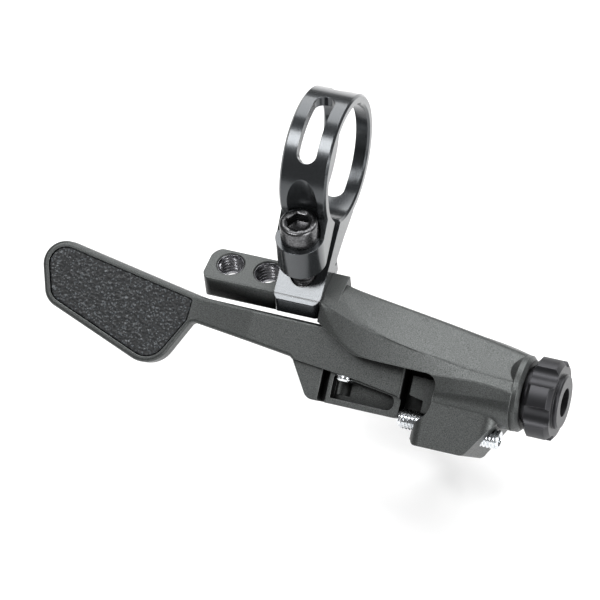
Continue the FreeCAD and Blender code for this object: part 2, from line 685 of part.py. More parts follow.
def main():
    """Build every piece and write it."""
    os.makedirs("parts", exist_ok=True)
    save("bar_clamp", make_bar_clamp())
    save("clamp_bolt", make_clamp_bolt())
    save("lever_housing", make_lever_housing())
    save("lever", make_lever())
    save("grip_tape", make_grip_tape())
    for name, seat_low in (("lower", hub_bottom), ("upper", hub_top - bearing_width)):
        outer_ring, inner_ring, balls, cage, seals = make_bearing(seat_low)
        save(name + "_bearing_outer_ring", ride(outer_ring))
        save(name + "_bearing_inner_ring", ride(inner_ring))
        save(name + "_bearing_balls", ride(balls))
        save(name + "_bearing_cage", ride(cage))
        save(name + "_bearing_seals", ride(seals))
    save("pivot_bolt", ride(make_pivot_bolt()))
    sleeve_radius = bearing_bore / 2 + ring_wall
    save("bearing_spacer", ride(make_ring_spacer(hub_bottom + bearing_width, hub_top - bearing_width,
                                                 sleeve_radius)))
    save("upper_shim", ride(make_ring_spacer(hub_top, ear_ceiling, sleeve_radius)))
    save("lower_shim", ride(make_ring_spacer(slot_floor, hub_bottom, sleeve_radius)))
    save("barrel_adjuster", make_barrel_adjuster())
    save("adjuster_seal", make_adjuster_seal())
    pinch_tip = V(pinch_x, barrel_depth + 0.3, barrel_height - cable_hole_diameter / 2 - slide_clearance)
    pinch = set_screw(pinch_diameter, pinch_length, pinch_key, pinch_tip, V(0, 0, -1))
    save("cable_pinch_screw", ride(pinch))
    reach_start = V(reach_tip, reach_depth, reach_height)
    reach = set_screw(reach_diameter, reach_length, reach_key, reach_start, V(1, 0, 0))
    save("reach_screw", ride(reach))


main()
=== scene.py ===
# %% [markdown]
# A remote lever for a height-adjustable seat post, dressed for a studio picture.
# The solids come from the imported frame, at their real size and place.
# This script gives them their finishes, and builds what is too fine for the solids:
# screw threads, the grit of the thumb pad, and the studio around the piece.
# All lengths are in metres, so a millimetre is written as 1 * MM.

# %% Load the frame
import bpy
import bmesh
import json
import math
from mathutils import Matrix, Vector, noise


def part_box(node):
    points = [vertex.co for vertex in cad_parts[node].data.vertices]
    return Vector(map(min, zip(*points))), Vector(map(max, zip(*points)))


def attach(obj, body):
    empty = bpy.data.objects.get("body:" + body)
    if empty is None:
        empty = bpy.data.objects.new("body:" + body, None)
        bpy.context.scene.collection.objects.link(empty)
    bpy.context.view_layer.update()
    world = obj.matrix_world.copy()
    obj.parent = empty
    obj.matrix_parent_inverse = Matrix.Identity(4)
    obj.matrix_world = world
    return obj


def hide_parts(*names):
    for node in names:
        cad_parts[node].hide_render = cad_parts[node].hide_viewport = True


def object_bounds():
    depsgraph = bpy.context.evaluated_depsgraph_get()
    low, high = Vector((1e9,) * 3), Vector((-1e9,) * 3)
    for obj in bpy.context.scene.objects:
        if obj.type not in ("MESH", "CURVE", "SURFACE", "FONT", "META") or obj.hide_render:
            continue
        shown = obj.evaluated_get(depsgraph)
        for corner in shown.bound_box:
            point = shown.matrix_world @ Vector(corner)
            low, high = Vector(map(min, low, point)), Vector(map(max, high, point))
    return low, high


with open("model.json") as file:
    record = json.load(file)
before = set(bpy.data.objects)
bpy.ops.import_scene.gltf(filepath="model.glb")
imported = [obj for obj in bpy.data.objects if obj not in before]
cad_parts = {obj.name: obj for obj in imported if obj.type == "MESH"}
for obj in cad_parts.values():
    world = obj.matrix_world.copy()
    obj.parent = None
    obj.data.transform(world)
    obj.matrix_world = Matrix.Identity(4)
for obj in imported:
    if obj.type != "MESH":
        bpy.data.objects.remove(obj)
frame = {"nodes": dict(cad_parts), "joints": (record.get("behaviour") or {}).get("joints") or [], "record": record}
cad_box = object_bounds()
nodes = frame["nodes"]
MM = 0.001
print("solids:", len(nodes), "size in mm:", [round(v / MM, 1) for v in cad_box[1] - cad_box[0]])

# %% [markdown]
# The lever turns about an axis that the record gives. Seen in the rider's hands that axis stands
# upright, so it is also the housing's own upright, and the sideways direction is the bar's.
# A third direction at right angles to both points away from the rider.

# %% The housing's own directions
pivot = next(joint for joint in frame["joints"] if joint["name"] == "lever_pivot")
UP = -Vector(pivot["axis"]).normalized()
ALONG = Vector((1, 0, 0))
AWAY = UP.cross(ALONG).normalized()
print("upright of the housing:", [round(v, 3) for v in UP])

# %% [markdown]
# The camera looks down at the piece from the front right, with a long lens, so that parallel edges
# stay nearly parallel as they do in the photograph. Its roll is what tips the bar's line a few
# degrees out of level. The aim point is given as a shift from the clamp's middle, measured in the
# picture plane, because that is how a photographer frames a shot.

# %% The camera
view_azimuth = math.radians(24.86)
view_elevation = math.radians(48.25)
view_roll = math.radians(-6.6)
picture_width = 112.4 * MM
aim_right = -4.89 * MM
aim_up = -26.6 * MM
camera_distance = 0.9

back = Vector((math.sin(view_azimuth) * math.cos(view_elevation),
               -math.cos(view_azimuth) * math.cos(view_elevation), math.sin(view_elevation)))
level_right = Vector((math.cos(view_azimuth), math.sin(view_azimuth), 0))
level_up = back.cross(level_right)
right = level_right * math.cos(view_roll) + level_up * math.sin(view_roll)
up = back.cross(right)

camera_data = bpy.data.cameras.new("camera")
camera_data.sensor_width = 36
camera_data.lens = camera_data.sensor_width * camera_distance / picture_width
camera_data.clip_start = 0.01
camera_data.clip_end = 20
camera = bpy.data.objects.new("camera", camera_data)
bpy.context.scene.collection.objects.link(camera)
aim = right * aim_right + up * aim_up
turn = Matrix((right, up, back)).transposed().to_4x4()
camera.matrix_world = Matrix.Translation(aim + back * camera_distance) @ turn
bpy.context.scene.camera = camera
print("lens in mm:", round(camera_data.lens))

# %% [markdown]
# The studio is a pale floor under the piece and soft boxes over it. Black anodising shows hardly
# any colour of its own: what the eye reads is the light that it reflects. So the studio is laid out
# as a set of mirror images.
# The backdrop should look white without throwing that much light on the piece. More light on the
# backdrop would spill over. Instead, a light path node tells which kind of ray asks for a colour, so
# a surface can answer the camera with one brightness and the piece with another.

# %% What a ray is told
scene = bpy.context.scene
scene.view_settings.view_transform = "Standard"
print("view transform:", scene.view_settings.view_transform)


def node_of(tree, kind, **values):
    """Adds a shader node and sets its plain values."""
    made = tree.nodes.new(kind)
    for key, value in values.items():
        setattr(made, key, value)
    return made


def seen_directly(tree, others):
    """A factor that is 1 for camera rays and for the other named kinds of ray, and 0 for the rest."""
    path = node_of(tree, "ShaderNodeLightPath")
    total = path.outputs["Is Camera Ray"]
    for kind in others:
        add = node_of(tree, "ShaderNodeMath", operation="ADD", use_clamp=True)
        tree.links.new(total, add.inputs[0])
        tree.links.new(path.outputs[kind], add.inputs[1])
        total = add.outputs[0]
    return total


# %% [markdown]
# The world stands for the room. It could be a picture of a real studio, but then its windows would
# show in the polished clamp. One plain glow is enough, dim for the piece and white for the camera.

# %% The room


def make_world(light, backdrop):
    """Plain light from all round, with a white backdrop for the camera."""
    world = bpy.data.worlds.new("studio")
    world.use_nodes = True
    tree = world.node_tree
    tree.nodes.clear()
    out = node_of(tree, "ShaderNodeOutputWorld")
    mix = node_of(tree, "ShaderNodeMixShader")
    for socket, strength in ((1, light), (2, backdrop)):
        glow = node_of(tree, "ShaderNodeBackground")
        glow.inputs["Color"].default_value = (1, 1, 1, 1)
        glow.inputs["Strength"].default_value = strength
        tree.links.new(glow.outputs[0], mix.inputs[socket])
    tree.links.new(seen_directly(tree, ["Is Transmission Ray"]), mix.inputs[0])
    tree.links.new(mix.outputs[0], out.inputs["Surface"])
    scene.world = world
    print("room light:", light, "backdrop:", backdrop)


make_world(light=0.17, backdrop=1.0)

# %% [markdown]
# The floor is matt and nearly white, so it throws light up at the undersides and takes a soft shadow.
# A matt floor alone turns grey away from the lamps. A little glow of its own, seen by the camera and
# in reflections only, keeps it white without lighting the piece any further.

# %% The floor
floor_gap = 3 * MM


def make_floor(height, size, tone, glow):
    """A pale floor. Its glow, for the camera and in reflections, keeps it near white in the shadow."""
    mesh = bpy.data.meshes.new("floor")
    mesh.from_pydata([(-size, -size, height), (size, -size, height), (size, size, height),
                      (-size, size, height)], [], [(0, 1, 2, 3)])
    floor = bpy.data.objects.new("floor", mesh)
    scene.collection.objects.link(floor)
    material = bpy.data.materials.new("floor")
    material.use_nodes = True
    tree = material.node_tree
    tree.nodes.clear()
    out = node_of(tree, "ShaderNodeOutputMaterial")
    matt = node_of(tree, "ShaderNodeBsdfDiffuse")
    matt.inputs["Color"].default_value = (tone, tone, tone, 1)
    lit = node_of(tree, "ShaderNodeEmission")
    lit.inputs["Strength"].default_value = glow
    both = node_of(tree, "ShaderNodeAddShader")
    mix = node_of(tree, "ShaderNodeMixShader")
    tree.links.new(matt.outputs[0], both.inputs[0])
    tree.links.new(lit.outputs[0], both.inputs[1])
    tree.links.new(seen_directly(tree, ["Is Transmission Ray", "Is Glossy Ray"]), mix.inputs[0])
    tree.links.new(matt.outputs[0], mix.inputs[1])
    tree.links.new(both.outputs[0], mix.inputs[2])
    tree.links.new(mix.outputs[0], out.inputs["Surface"])
    mesh.materials.append(material)
    print("floor at, in mm:", round(height / MM, 1))


make_floor(cad_box[0].z - floor_gap, size=3.0, tone=0.8, glow=0.25)

# %% [markdown]
# Three soft boxes light the piece. The one beside the camera lights the faces that look at the
# camera and draws the bright stripes on the clamp. The large one behind is mirrored in the faces that
# lean back, such as the top of the hood. The one at the right lights the ends. A lamp that is near
# and wide has soft edges, both in the shadow and in the metal.

# %% The soft boxes
middle = (cad_box[0] + cad_box[1]) / 2


def make_softbox(name, shift, width, height, power):
    """A rectangular lamp, shifted from the middle of the piece and turned to face it."""
    place = middle + Vector(shift)
    data = bpy.data.lights.new(name, "AREA")
    data.shape = "RECTANGLE"
    data.size = width
    data.size_y = height
    data.energy = power
    lamp = bpy.data.objects.new(name, data)
    lamp.location = place
    lamp.rotation_mode = "QUATERNION"
    lamp.rotation_quaternion = (middle - place).to_track_quat("-Z", "Y")
    scene.collection.objects.link(lamp)
    print(name, "distance in m:", round((middle - place).length, 2))


make_softbox("camera_softbox", (-0.27, -0.32, 0.9), width=0.42, height=0.32, power=5.0)
make_softbox("top_softbox", (0.1, 0.5, 0.6), width=1.0, height=0.7, power=9.5)
make_softbox("side_softbox", (0.75, -0.4, 0.35), width=0.5, height=0.35, power=5.5)

# %% [markdown]
# Every finish starts from the same shader, so one helper makes the material and hands back its
# parts. Values that hold for the whole surface are set on the shader's own sockets.
# Texture coordinates come from the object itself, in metres, so a grain has a real size and a
# noise scale is one over that size. They ride along when the lever moves.

# %% A finish and its grain


def finish(name, colour, metallic, roughness, coat=0.0):
    """A new material with its shader's plain values set: (material, tree, shader)."""
    material = bpy.data.materials.new(name)
    material.use_nodes = True
    tree = material.node_tree
    shader = tree.nodes["Principled BSDF"]
    shader.inputs["Base Color"].default_value = (*colour, 1)
    shader.inputs["Metallic"].default_value = metallic
    shader.inputs["Roughness"].default_value = roughness
    shader.inputs["Coat Weight"].default_value = coat
    return material, tree, shader


def place_of(tree):
    """The point's place on the object."""
    return node_of(tree, "ShaderNodeTexCoord").outputs["Object"]


def grain(tree, size, detail=2.0, roughness=0.5):
    """Soft noise whose lumps are about size across: a factor from 0 to 1."""
    texture = node_of(tree, "ShaderNodeTexNoise")
    texture.inputs["Scale"].default_value = 1 / size
    texture.inputs["Detail"].default_value = detail
    texture.inputs["Roughness"].default_value = roughness
    tree.links.new(place_of(tree), texture.inputs["Vector"])
    return texture.outputs["Fac"]


def specks(tree, size):
    """Cells about size across, each with a random tone."""
    texture = node_of(tree, "ShaderNodeTexVoronoi")
    texture.inputs["Scale"].default_value = 1 / size
    tree.links.new(place_of(tree), texture.inputs["Vector"])
    tone = node_of(tree, "ShaderNodeSeparateColor")
    tree.links.new(texture.outputs["Color"], tone.inputs[0])
    return tone.outputs[0]


print("noise scale of a grain 0.1 mm wide:", round(1 / (0.1 * MM)))

# %% [markdown]
# A texture gives a number between 0 and 1 at each point. The next helpers turn such a factor into a
# range of roughness or into a colour between two tones, and join two factors into one.

# %% Factors and colours


def spread(tree, factor, low, high, start=0.0, end=1.0):
    """Stretches a factor between start and end into values between low and high."""
    mapping = node_of(tree, "ShaderNodeMapRange")
    tree.links.new(factor, mapping.inputs["Value"])
    for socket, value in (("From Min", start), ("From Max", end), ("To Min", low), ("To Max", high)):
        mapping.inputs[socket].default_value = value
    return mapping.outputs[0]


def tint(tree, factor, dark, light):
    """A colour between dark and light."""
    mix = node_of(tree, "ShaderNodeMix", data_type="RGBA")
    mix.inputs["A"].default_value = (*dark, 1)
    mix.inputs["B"].default_value = (*light, 1)
    tree.links.new(factor, mix.inputs["Factor"])
    return mix.outputs["Result"]


def scale_colour(tree, colour, factor):
    """A colour times a factor."""
    scale = node_of(tree, "ShaderNodeVectorMath", operation="SCALE")
    tree.links.new(colour, scale.inputs[0])
    tree.links.new(factor, scale.inputs["Scale"])
    return scale.outputs[0]


def multiply(tree, first, second):
    """The product of two factors."""
    product = node_of(tree, "ShaderNodeMath", operation="MULTIPLY")
    tree.links.new(first, product.inputs[0])
    tree.links.new(second, product.inputs[1])
    return product.outputs[0]


def larger(tree, first, second):
    """The larger of two factors."""
    pick = node_of(tree, "ShaderNodeMath", operation="MAXIMUM")
    tree.links.new(first, pick.inputs[0])
    tree.links.new(second, pick.inputs[1])
    return pick.outputs[0]


# %% [markdown]
# The solids have sharp edges where those of a real part are rounded by the tumbling drum. Rounding
# them in the mesh would change the solid, so the shader bends the normal near an edge instead. How
# far the bent normal leaves the true one also tells where the edge is, and the finishes lighten the
# colour there as a painted highlight. In the same way the share of open sky over a point tells how
# deep it lies in a hollow, and the body's finish darkens the colour there as painted shade.

# %% Edges, hollows and bumps
edge_agreement = 0.72
flat_agreement = 0.99
deep_sky = 0.2
open_sky = 0.9


def soft_edge(tree, radius):
    """A normal that rounds sharp edges over a radius, and a factor that is 1 on the edge itself."""
    rounded = node_of(tree, "ShaderNodeBevel", samples=6)
    rounded.inputs["Radius"].default_value = radius
    straight = node_of(tree, "ShaderNodeNewGeometry")
    agree = node_of(tree, "ShaderNodeVectorMath", operation="DOT_PRODUCT")
    tree.links.new(rounded.outputs[0], agree.inputs[0])
    tree.links.new(straight.outputs["Normal"], agree.inputs[1])
    edge = spread(tree, agree.outputs["Value"], 1.0, 0.0, start=edge_agreement, end=flat_agreement)
    return rounded.outputs[0], edge


def painted_hollow_shade(tree, reach, least):
    """A painted-shade factor: 1 on open faces, falling to least in corners and hollows within reach."""
    hollow = node_of(tree, "ShaderNodeAmbientOcclusion", samples=8)
    hollow.inputs["Distance"].default_value = reach
    return spread(tree, hollow.outputs["AO"], least, 1.0, start=deep_sky, end=open_sky)


def relief(tree, shader, factor, depth, normal=None):
    """Bumps of a given depth from a factor, over a rounded normal where there is one."""
    bump = node_of(tree, "ShaderNodeBump")
    bump.inputs["Distance"].default_value = depth
    tree.links.new(factor, bump.inputs["Height"])
    if normal is not None:
        tree.links.new(normal, bump.inputs["Normal"])
    tree.links.new(bump.outputs[0], shader.inputs["Normal"])


print("degrees of bend that make a full edge:", round(math.degrees(math.acos(edge_agreement))))

# %% [markdown]
# The housing and the lever are bead-blasted aluminium, then anodised dark grey. Blasting leaves tiny
# round dents that scatter the light and sparkle when one of them faces the lamp. One could model
# each dent, but they are a tenth of a millimetre wide: noise at that size is used as bumps and as a
# change of tone, and its brightest cells are a painted glint that stands in for the sparkle. The edge
# factor lifts the colour at the edges as a painted highlight, and the colour falls off in deep hollows
# with the share of open sky, which is painted shade.

# %% Bead-blasted body
dent_width = 0.16 * MM
dent_depth = 0.02 * MM
sparkle_width = 0.13 * MM
edge_highlight_patch = 9 * MM
edge_radius = 0.22 * MM
shade_reach = 8 * MM
shade_least = 0.05


def blasted_anodising(name, dark, light, roughness):
    """Dark anodising over a blasted surface, with painted glints, a painted highlight on the edges and painted
    shade in hollows.
    """
    material, tree, shader = finish(name, light, metallic=0.85, roughness=roughness)
    dents = grain(tree, dent_width, detail=3.0, roughness=0.6)
    # only the brightest tenth of the cells gets a painted glint, strongest where the dents' noise is high
    painted_sparkle = spread(tree, specks(tree, sparkle_width), 0.0, 0.5, start=0.9, end=1.0)
    tone = larger(tree, spread(tree, dents, 0.0, 0.32, start=0.3, end=0.72), multiply(tree, painted_sparkle, dents))
    # the painted edge highlight reaches the full light tone in some stretches and half way in others
    edge_highlight_share = spread(tree, grain(tree, edge_highlight_patch), 0.5, 1.0)
    normal, edge = soft_edge(tree, edge_radius)
    tone = larger(tree, tone, multiply(tree, edge, edge_highlight_share))
    film_with_painted_highlights = tint(tree, tone, dark, light)
    # the colour is darkened in hollows by the share of open sky: painted shade
    shaded = scale_colour(tree, film_with_painted_highlights, painted_hollow_shade(tree, shade_reach, shade_least))
    tree.links.new(shaded, shader.inputs["Base Color"])
    rough = spread(tree, dents, roughness + 0.1, roughness - 0.08, start=0.3, end=0.7)
    tree.links.new(rough, shader.inputs["Roughness"])
    relief(tree, shader, dents, dent_depth, normal)
    return material


body_finish = blasted_anodising("anodised_body", dark=(0.038, 0.04, 0.0395), light=(0.285, 0.3, 0.296),
                                roughness=0.42)
print("shader nodes in the body's finish:", len(body_finish.node_tree.nodes))

# %% [markdown]
# The clamp is turned from bar, polished and anodised black, so it is glossier than the body: it
# shows the lamps as bright stripes on nearly black metal. One could stretch the grain round the bore,
# as a lathe leaves it, but no direction can be seen in the real one. So the grain is even here and
# very shallow, and a clear coat over it draws the sharp stripes. The adjuster is the same black with
# a duller polish and no coat.

# %% Satin black anodising
film_patch = 5 * MM
turned_edge = 0.18 * MM
polish_depth = 0.0006 * MM
coat_roughness = 0.14


def satin_anodising(name, colour, roughness, lump, coat=0.0):
    """Smooth black anodising with a faint even grain, and softened edges that carry a painted highlight."""
    material, tree, shader = finish(name, colour, metallic=0.8, roughness=roughness, coat=coat)
    shader.inputs["Coat Roughness"].default_value = coat_roughness
    fine = grain(tree, lump)
    faint = multiply(tree, fine, spread(tree, grain(tree, film_patch), 0.02, 0.1))
    normal, edge = soft_edge(tree, turned_edge)
    # edges are lightened towards the bright tone as a painted highlight; the faint grain is the film's own tone
    tone = larger(tree, faint, spread(tree, edge, 0.0, 0.7))
    bright = tuple(value * 3 + 0.03 for value in colour)
    tree.links.new(tint(tree, tone, colour, bright), shader.inputs["Base Color"])
    rough = spread(tree, fine, roughness - 0.03, roughness + 0.03, start=0.3, end=0.7)
    tree.links.new(rough, shader.inputs["Roughness"])
    relief(tree, shader, fine, polish_depth, normal)
    return material


clamp_finish = satin_anodising("anodised_clamp", colour=(0.051, 0.055, 0.059), roughness=0.24,
                               lump=0.3 * MM, coat=0.5)
adjuster_finish = satin_anodising("anodised_adjuster", colour=(0.035, 0.035, 0.038), roughness=0.4,
                                  lump=0.2 * MM)
print("shader nodes in the clamp's finish:", len(clamp_finish.node_tree.nodes))

# %% [markdown]
# Steel comes in three kinds here: black oxide on the cap screw and the pivot bolt, bright zinc on the
# set screws, and plain ground steel on the bearings and shims. All are metallic, and so is the bare
# metal of the tapped holes. What differs is how dark the film is and how rough it lies, so one
# function makes them all from a dark and a light tone.

# %% Steels
steel_edge = 0.1 * MM
steel_depth = 0.003 * MM


def steel(name, dark, light, roughness, lump):
    """A metal whose film varies a little from place to place, with a painted highlight on its edges."""
    material, tree, shader = finish(name, light, metallic=1.0, roughness=roughness)
    cloud = grain(tree, lump, detail=3.0, roughness=0.6)
    normal, edge = soft_edge(tree, steel_edge)
    # the edges take the light tone as a painted highlight; the cloud is the film's own uneven tone
    tone = larger(tree, spread(tree, cloud, 0.0, 1.0, start=0.35, end=0.65), edge)
    tree.links.new(tint(tree, tone, dark, light), shader.inputs["Base Color"])
    rough = spread(tree, cloud, roughness + 0.06, roughness - 0.06, start=0.3, end=0.7)
    tree.links.new(rough, shader.inputs["Roughness"])
    relief(tree, shader, cloud, steel_depth, normal)
    return material


black_steel = steel("black_steel", (0.075, 0.075, 0.078), (0.14, 0.14, 0.144), 0.28, 0.5 * MM)
zinc = steel("zinc_screw", (0.62, 0.64, 0.66), (0.9, 0.92, 0.94), 0.2, 0.4 * MM)
bright_steel = steel("bright_steel", (0.4, 0.4, 0.41), (0.65, 0.65, 0.66), 0.25, 0.3 * MM)
bearing_steel = steel("bearing_steel", (0.55, 0.56, 0.58), (0.8, 0.81, 0.83), 0.12, 0.3 * MM)
thread_finish = steel("cut_thread", (0.16, 0.16, 0.17), (0.42, 0.42, 0.44), 0.22, 0.2 * MM)
print("shader nodes in a steel:", len(black_steel.node_tree.nodes))

# %% [markdown]
# The bearings' cages are moulded nylon, and their seals and the adjuster's ring are rubber. Neither
# is metallic, and both are matt, so a moulded surface needs only a fine unevenness of tone, gloss
# and height.

# %% Plastic and rubber


def moulded(name, dark, light, roughness, lump, depth):
    """Moulded plastic or rubber: a matt surface with a fine unevenness."""
    material, tree, shader = finish(name, light, metallic=0.0, roughness=roughness)
    cloud = grain(tree, lump, detail=4.0, roughness=0.6)
    tree.links.new(tint(tree, cloud, dark, light), shader.inputs["Base Color"])
    tree.links.new(spread(tree, cloud, roughness - 0.08, roughness + 0.08), shader.inputs["Roughness"])
    relief(tree, shader, cloud, depth)
    return material


cage_plastic = moulded("cage_plastic", (0.22, 0.11, 0.05), (0.35, 0.2, 0.1), 0.45, 0.4 * MM, 0.005 * MM)
rubber = moulded("rubber_ring", (0.012, 0.012, 0.012), (0.03, 0.03, 0.03), 0.6, 0.3 * MM, 0.008 * MM)
print("shader nodes in the rubber:", len(rubber.node_tree.nodes))

# %% [markdown]
# The record says which slot each solid takes, so the finishes are given out by that list. A solid
# keeps its mesh: only what fills its material slots changes.

# %% Give each solid its finish
finishes = {
    "anodised_body": body_finish, "anodised_clamp": clamp_finish, "anodised_adjuster": adjuster_finish,
    "black_steel": black_steel, "zinc_screw": zinc, "bright_steel": bright_steel,
    "bearing_steel": bearing_steel, "cage_plastic": cage_plastic, "rubber_ring": rubber,
}
slot_of = {part["node"]: part["material_slot"] for part in frame["record"]["subparts"]}
for name, solid in nodes.items():
    if slot_of[name] in finishes:
        solid.data.materials.clear()
        solid.data.materials.append(finishes[slot_of[name]])
print("finished:", sum(slot_of[name] in finishes for name in nodes), "of", len(nodes))

# %% [markdown]
# A screw thread is one ridge that climbs round a cylinder. Sweeping a small triangle along a helix
# makes it too, but the ends come out ragged. Here the surface is a stack of rings instead: each
# point's radius depends on how far the helix has climbed at that height and angle. The same stack
# then goes on into the chamfer, the head and the hexagonal socket, so the screw is one closed skin.
# Across half a pitch the ridge is flat at the root, then a sloping flank, then flat at the crest.

# %% Rings round an axis
sides = 48
root_share = 0.12
flank_share = 0.7
print("points in a ring:", sides)


def ring(height, radius_at):
    """One closed ring of points round the z axis; radius_at gives the radius at an angle."""
    points = []
    for k in range(sides):
        angle = 2 * math.pi * k / sides
        radius = radius_at(angle)
        points.append(Vector((radius * math.cos(angle), radius * math.sin(angle), height)))
    return points


def round_ring(height, radius):
    """A ring with one radius."""
    return ring(height, lambda angle: radius)


def hexagon_ring(height, across_flats):
    """A ring that follows a hexagon."""
    return ring(height, lambda angle: across_flats / 2 / math.cos((angle % (math.pi / 3)) - math.pi / 6))


def thread_ring(height, pitch, outer, inner):
    """A ring across a thread between two radii, with small flats between the sloping flanks."""
    def radius_at(angle):
        phase = (height / pitch - angle / (2 * math.pi)) % 1
        slope = abs(2 * phase - 1)
        climb = min(max((slope - root_share) / flank_share, 0), 1)
        return inner + (outer - inner) * climb
    return ring(height, radius_at)


# %% [markdown]
# Each ring has the same number of points, so two rings in a row are joined by plain quads. Smooth
# shading hides the quads, and edges past a given angle stay sharp, such as those of the socket.
# A piece is drawn upright at the origin, where it is easy to think about, and only then stood in
# its place.

# %% Rings into a closed skin
sharp_angle = math.radians(32)


def skin(name, rings, close_ends=True):
    """Joins the rings in order, and closes the first and last ring or joins them to each other."""
    mesh = bmesh.new()
    rows = [[mesh.verts.new(point) for point in points] for points in rings]
    pairs = list(zip(rows, rows[1:]))
    if not close_ends:
        pairs.append((rows[-1], rows[0]))
    for low, high in pairs:
        for k in range(sides):
            after = (k + 1) % sides
            mesh.faces.new((low[k], low[after], high[after], high[k]))
    if close_ends:
        mesh.faces.new(list(reversed(rows[0])))
        mesh.faces.new(rows[-1])
    bmesh.ops.recalc_face_normals(mesh, faces=mesh.faces)
    data = bpy.data.meshes.new(name)
    mesh.to_mesh(data)
    mesh.free()
    data.shade_smooth()
    data.set_sharp_from_angle(angle=sharp_angle)
    made = bpy.data.objects.new(name, data)
    scene.collection.objects.link(made)
    print(name, "faces:", len(data.polygons))
    return made


def stand(piece, foot, direction, material):
    """Turns a piece drawn along z to a direction, sets its foot in place and gives its finish."""
    turned = direction.to_track_quat("Z", "Y").to_matrix().to_4x4()
    piece.data.transform(Matrix.Translation(foot) @ turned)
    piece.data.materials.append(material)
    return piece


# %% [markdown]
# A screw has two parts that repeat from one to the next: a stretch of thread, and a hexagonal
# socket. The thread is about half as deep as its pitch, and starts shallow, as a cut thread does.
# The socket is a bevelled mouth, six flat walls, and the small cone that the drill left in its floor.

# %% Threads and sockets
rings_per_turn = 8
thread_depth = 0.54
first_depth = 0.25
mouth_bevel = 0.25 * MM
cone_depth = 0.3 * MM
cone_share = 0.2
print("thread depth as a share of the pitch:", thread_depth)


def thread_rows(start, end, pitch, crest, root):
    """Thread rings from start to end, growing to full depth over the first turn."""
    rows = []
    steps = max(2, round((end - start) / (pitch / rings_per_turn)))
    for k in range(steps + 1):
        height = start + (end - start) * k / steps
        grow = min(1.0, (height - start) / pitch + first_depth)
        rows.append(thread_ring(height, pitch, root + (crest - root) * grow, root))
    return rows


def socket_rows(top, across_flats, depth, rim):
    """Rings from a flat end down into a hexagonal socket with a bevelled mouth."""
    return [round_ring(top, rim), hexagon_ring(top - mouth_bevel, across_flats),
            hexagon_ring(top - depth, across_flats),
            round_ring(top - depth - cone_depth, across_flats * cone_share)]


# %% [markdown]
# Two set screws show in the picture, both M4 and bright zinc. The long one in the lower block sets
# where the lever comes to rest. The short one in the stub pinches the cable. Each replaces a smooth
# solid and takes its place from that solid's box, so a change there carries over. Its point and its
# far end are two plain rings each, given by how far they lie from the end and how wide they are.

# %% The set screws
screw_diameter = 4 * MM
screw_pitch = 0.7 * MM
screw_key = 2 * MM
screw_clearance = 0.05 * MM
screw_crest = screw_diameter / 2 - screw_clearance
screw_root = screw_crest - thread_depth * screw_pitch
screw_point = [(0.0, screw_root * 0.55), (0.15 * MM, screw_root * 0.8)]
screw_end = [(0.3 * MM, screw_crest - 0.1 * MM), (0.0, screw_crest - 0.35 * MM)]
thread_start = 0.5 * MM
thread_stop = 0.4 * MM


def make_set_screw(name, solid_name, direction, length, body):
    """A headless screw in the place of the solid that it stands for, socket at the far end."""
    low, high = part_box(solid_name)
    centre = (low + high) / 2
    rows = [round_ring(rise, radius) for rise, radius in screw_point]
    rows += thread_rows(thread_start, length - thread_stop, screw_pitch, screw_crest, screw_root)
    rows += [round_ring(length - drop, radius) for drop, radius in screw_end]
    rows += socket_rows(length, screw_key, depth=1.8 * MM, rim=screw_key * 0.62)
    screw = stand(skin(name, rows), centre - direction * length / 2, direction, zinc)
    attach(screw, body)
    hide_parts(solid_name)
    print(name, "length in mm:", round(length / MM, 1))


make_set_screw("reach_screw_threaded", "reach_screw", ALONG, length=20 * MM, body="reach_adjust")
make_set_screw("pinch_screw_threaded", "cable_pinch_screw", -UP, length=4 * MM, body="thumb_lever")

# %% [markdown]
# The screw that closes the clamp is an M5 cap screw of black steel. Its length, its head's radius
# and its place come from the solid's box. The head could be a plain cylinder with a shader for its
# edge, but its rounded rim is what catches the light. So the rim gets four rings of its own, given by
# how far they lie below the top and how far in from the side.

# %% The clamp bolt
bolt_low, bolt_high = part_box("clamp_bolt")
bolt_middle = (bolt_low + bolt_high) / 2
bolt_length = bolt_high.z - bolt_low.z
bolt_diameter = 5 * MM
bolt_pitch = 0.8 * MM
bolt_crest = bolt_diameter / 2 - screw_clearance
bolt_root = bolt_crest - thread_depth * bolt_pitch
bolt_point = [(0.0, bolt_root * 0.8), (0.1 * MM, bolt_root * 0.9)]
bolt_thread_start = 0.45 * MM
bolt_thread_stop = 0.5 * MM
plain_shank = 0.3 * MM
head_radius = (bolt_high.x - bolt_low.x) / 2
head_height = 4.2 * MM
head_bevel = 0.1 * MM
head_rim = [(0.55 * MM, 0.0), (0.4 * MM, 0.04 * MM), (0.15 * MM, 0.2 * MM), (0.0, 0.5 * MM)]
shank = bolt_length - head_height

bolt_rows = [round_ring(rise, radius) for rise, radius in bolt_point]
bolt_rows += thread_rows(bolt_thread_start, shank - bolt_thread_stop, bolt_pitch, bolt_crest, bolt_root)
bolt_rows += [round_ring(shank - plain_shank, bolt_crest), round_ring(shank, bolt_crest),
              round_ring(shank, head_radius - head_bevel), round_ring(shank + head_bevel, head_radius)]
bolt_rows += [round_ring(bolt_length - drop, head_radius - inset) for drop, inset in head_rim]
bolt_rows += socket_rows(bolt_length, across_flats=4 * MM, depth=2.3 * MM, rim=2.5 * MM)
bolt_foot = Vector((bolt_middle.x, bolt_middle.y, bolt_low.z))
clamp_bolt = stand(skin("clamp_bolt_threaded", bolt_rows), bolt_foot, Vector((0, 0, 1)), black_steel)
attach(clamp_bolt, "housing")
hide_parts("clamp_bolt")
print("clamp bolt length in mm:", round(bolt_length / MM, 1))

# %% [markdown]
# The rail has three tapped holes in line, so that the lever can be shifted along the bar. Their
# threads look bare and shiny in the picture. A thread could be cut into the rail, but the rail's mesh
# stays as it is. The solid's hole is as wide as the thread's root, so each thread is a thin sleeve
# that stands inward from that wall. The record lists the second hole as a mount: the first lies under
# the bolt, and the third as far again beyond the second.

